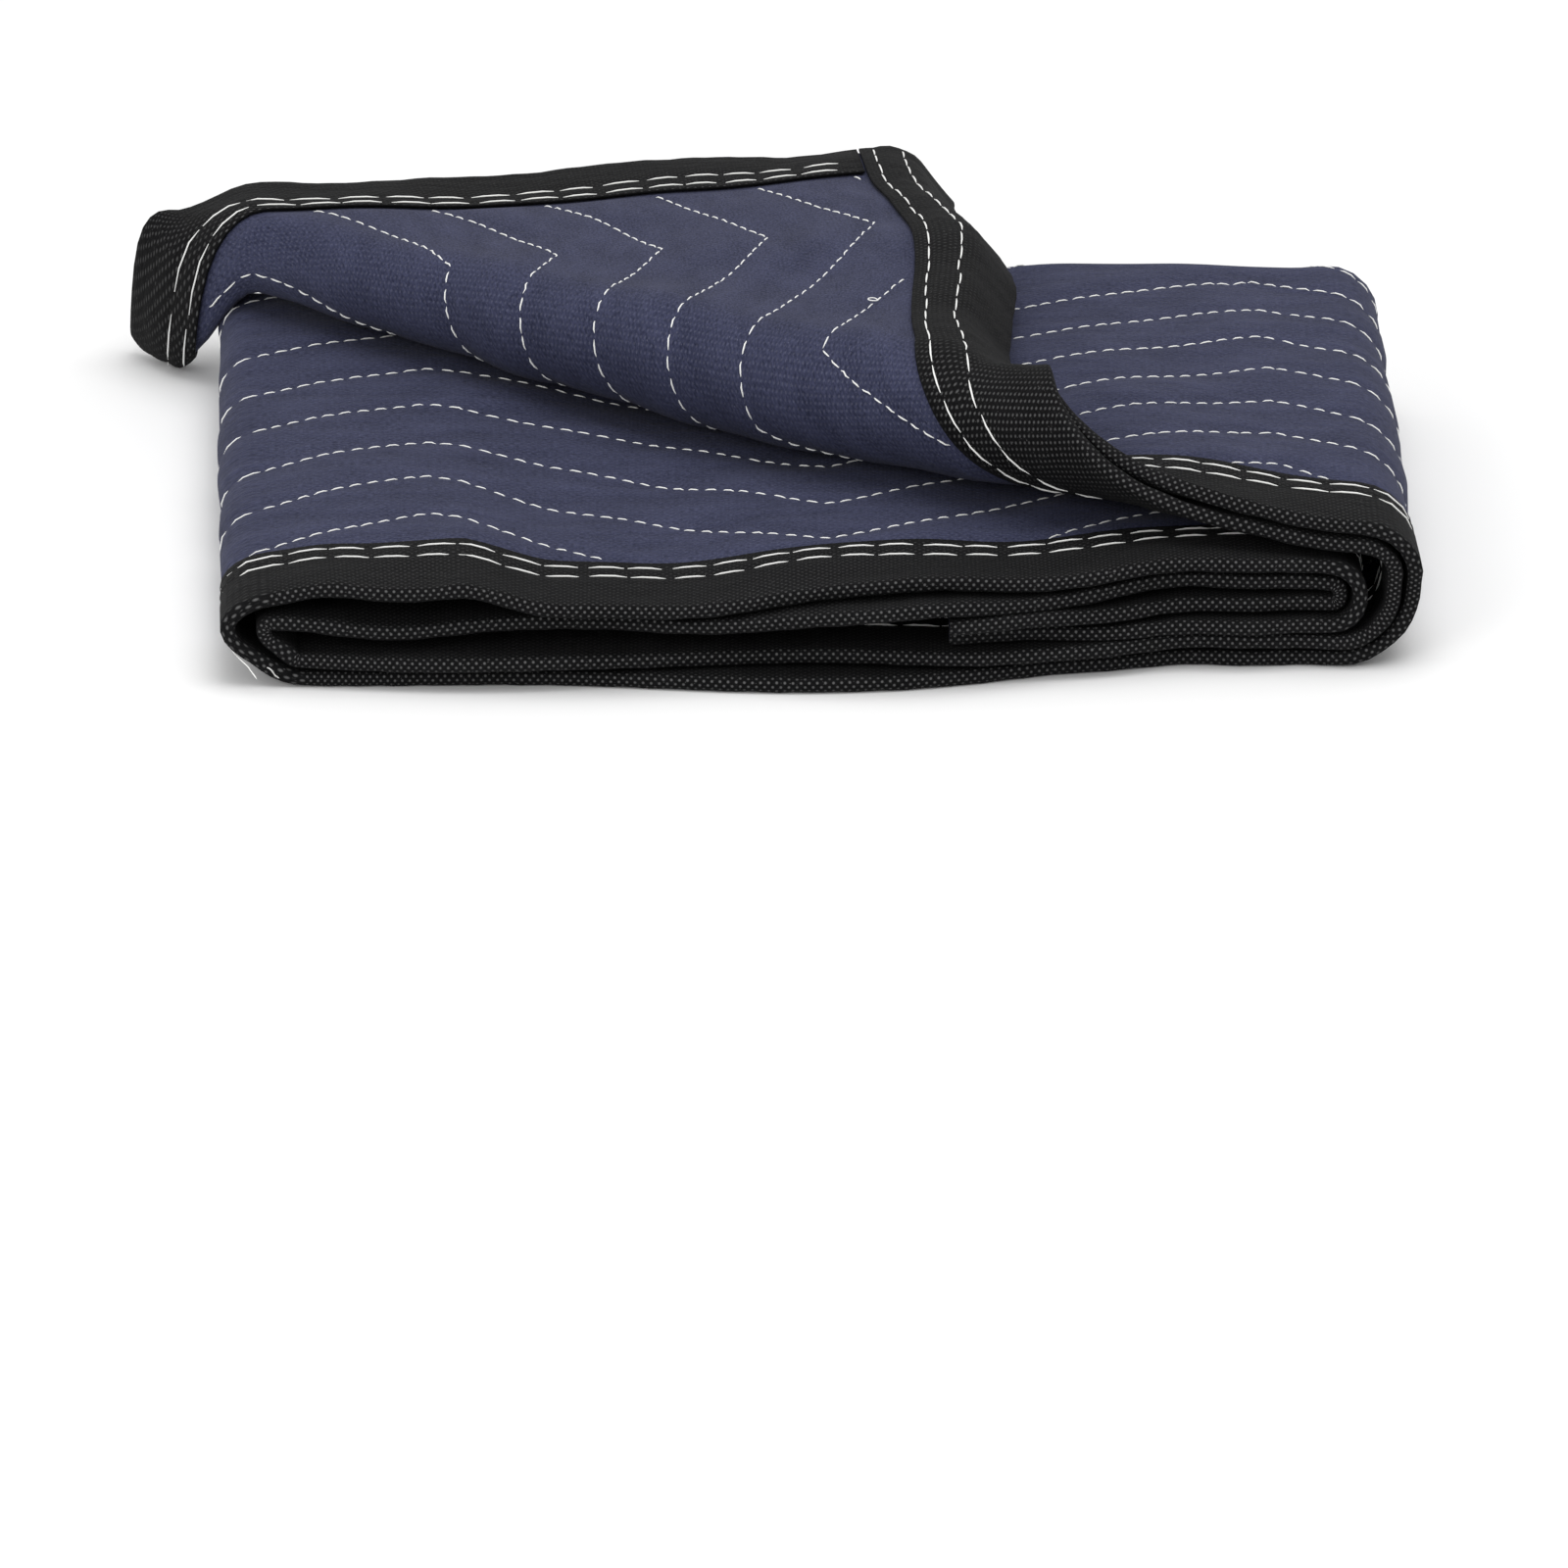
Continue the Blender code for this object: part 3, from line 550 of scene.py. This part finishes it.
# The thread: white stitches in zigzag rows over the pad and in two rows on each strip, each one
# a short tube that dives into the cloth at both ends.
def stitches(name, along, across, height, radius, sides=5):
    """Tubes along rows of ring centres, one stitch a row; the rings stand square to the stitch."""
    centre = cloth(along, across, height)
    above = cloth(along, across, height + 0.0005)
    way = np.gradient(centre, axis=1)
    up = above - centre
    side = np.cross(way, up)
    side = side / np.linalg.norm(side, axis=-1, keepdims=True)
    up = np.cross(side, way)
    up = up / np.linalg.norm(up, axis=-1, keepdims=True)
    angle = np.arange(sides) * 2 * math.pi / sides
    ring = side[:, :, None] * np.cos(angle)[:, None] + up[:, :, None] * np.sin(angle)[:, None]
    count = along.shape[1]
    taper = np.full(count, radius)
    taper[[0, -1]] = radius * 0.45
    points = centre[:, :, None] + ring * taper[None, :, None, None]
    first = np.arange(len(along))[:, None, None] * count * sides
    step = np.arange(count - 1)[None, :, None] * sides
    here = np.arange(sides)[None, None, :]
    there = (here + 1) % sides
    quads = np.stack(np.broadcast_arrays(
        first + step + here, first + step + sides + here, first + step + sides + there,
        first + step + there), axis=-1).reshape(-1, 4)
    piece = solid(name, points.reshape(-1, 3), quads)
    piece.data.materials.append(thread_material)
    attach(piece, "root")
    return piece


thread_material = bpy.data.materials.new("white_thread")
thread_material.use_nodes = True
thread_shader = thread_material.node_tree.nodes["Principled BSDF"]
thread_shader.inputs["Base Color"].default_value = (0.84, 0.84, 0.82, 1.0)
thread_shader.inputs["Roughness"].default_value = 0.55
thread_shader.inputs["Sheen Weight"].default_value = 0.2

chance = np.random.default_rng(41)
rings = np.array((0.0, 0.3, 0.7, 1.0))
lifted = np.array((-0.35, 0.75, 0.75, -0.35))


def row_of_stitches(start, end, pitch, dash):
    """Places along a row of the rings of each stitch: pitch apart, dash long, a little uneven."""
    begin = np.arange(start, end - dash, pitch)
    begin = begin + chance.normal(0.0, 0.03 * pitch, len(begin))
    length = dash * chance.uniform(0.88, 1.08, len(begin))
    return begin[:, None] + length[:, None] * rings[None, :]


quilt_along = []
quilt_across = []
for middle in QUILT_ROWS:
    place = row_of_stitches(STRIP + chance.uniform(0.0, 0.006), CLOTH_LENGTH - STRIP, 0.0053, 0.0043)
    across = middle + quilt_swing(place, middle + 0 * place)
    across = across + chance.normal(0.0, 0.00015, across.shape)
    inside = (across.min(axis=1) > STRIP + 0.002) & (across.max(axis=1) < CLOTH_WIDTH - STRIP - 0.002)
    quilt_along.append(place[inside])
    quilt_across.append(across[inside])
quilt_along = np.concatenate(quilt_along)
quilt_across = np.concatenate(quilt_across)
quilt_lift = pad_height(quilt_along, quilt_across) + 0.00033 * lifted
quilting = stitches("blanket_quilting_thread", quilt_along, quilt_across, quilt_lift, 0.00029)

strip_along = []
strip_across = []
for inset in (0.0335, 0.0250):
    for outer_side in (True, False):
        place = row_of_stitches(0.004, CLOTH_LENGTH - 0.004, 0.0130, 0.0112)
        side_place = np.full(place.shape, inset) + chance.normal(0.0, 0.0002, (len(place), 1))
        strip_along.append(place)
        strip_across.append(side_place if outer_side else CLOTH_WIDTH - side_place)
    for far_end in (True, False):
        place = row_of_stitches(STRIP + 0.002, CLOTH_WIDTH - STRIP - 0.002, 0.0130, 0.0112)
        end_place = np.full(place.shape, inset) + chance.normal(0.0, 0.0002, (len(place), 1))
        strip_along.append(CLOTH_LENGTH - end_place if far_end else end_place)
        strip_across.append(place)
strip_along = np.concatenate(strip_along)
strip_across = np.concatenate(strip_across)
binding_thread = stitches(
    "blanket_binding_thread", strip_along, strip_across, 0.0021 + 0.00030 * lifted, 0.00030, 6)

# Loose thread: one small loop left standing on the turned corner, and two short tails at the
# lower left front corner.
part = np.linspace(0.0, 1.0, 13)
loop = 2 * math.pi * part
loop_rows = QUILT_ROWS + quilt_swing(0.1935, QUILT_ROWS)
loop_place = loop_rows[np.argmin(np.abs(loop_rows - 0.508))]
loose_along = np.stack((
    0.1935 + 0.0016 * np.sin(loop),
    0.8050 + 0.0070 * part,
    0.8180 - 0.0060 * part))
loose_across = np.stack((
    loop_place + 0.0016 * np.cos(loop),
    0.0030 - 0.0125 * part,
    0.0030 - 0.0105 * part))
loose_lift = np.stack((
    0.0024 + 0.0010 * np.sin(loop / 2),
    0.0022 * np.cos(3.0 * part),
    0.0022 + 0.0010 * part))
loose_thread = stitches("blanket_loose_thread", loose_along, loose_across, loose_lift, 0.00022)


# The stage: a plain pale floor, a bright even surround, a large soft lamp overhead and a
# weaker one in front, to the left.
floor_mesh = bpy.data.meshes.new("floor")
floor_corners = [(-6, -6, -0.0002), (6, -6, -0.0002), (6, 6, -0.0002), (-6, 6, -0.0002)]
floor_mesh.from_pydata(floor_corners, [], [(0, 1, 2, 3)])
floor = bpy.data.objects.new("floor", floor_mesh)
bpy.context.scene.collection.objects.link(floor)
floor_material = bpy.data.materials.new("pale_floor")
floor_material.use_nodes = True
floor_shader = floor_material.node_tree.nodes["Principled BSDF"]
floor_shader.inputs["Base Color"].default_value = (0.86, 0.86, 0.86, 1.0)
floor_shader.inputs["Roughness"].default_value = 0.9
floor_mesh.materials.append(floor_material)

world = bpy.data.worlds.new("surround")
bpy.context.scene.world = world
world.use_nodes = True
world.node_tree.nodes["Background"].inputs["Color"].default_value = (1.0, 1.0, 1.0, 1.0)
world.node_tree.nodes["Background"].inputs["Strength"].default_value = 0.74

for name, place, size, power, aim in (
    ("overhead", (0.3, -0.2, 2.2), 1.8, 29.0, (0.0, 0.0, 0.0)),
    ("front", (-1.6, -2.6, 1.4), 1.4, 27.0, (0.0, 0.0, 0.0)),
):
    lamp_data = bpy.data.lights.new(name, "AREA")
    lamp_data.size = size
    lamp_data.energy = power
    lamp = bpy.data.objects.new(name, lamp_data)
    lamp.location = place
    way = np.array(aim) - np.array(place)
    lamp.rotation_euler = (
        math.acos(-way[2] / np.linalg.norm(way)), 0.0, math.atan2(way[1], way[0]) - math.pi / 2)
    bpy.context.scene.collection.objects.link(lamp)
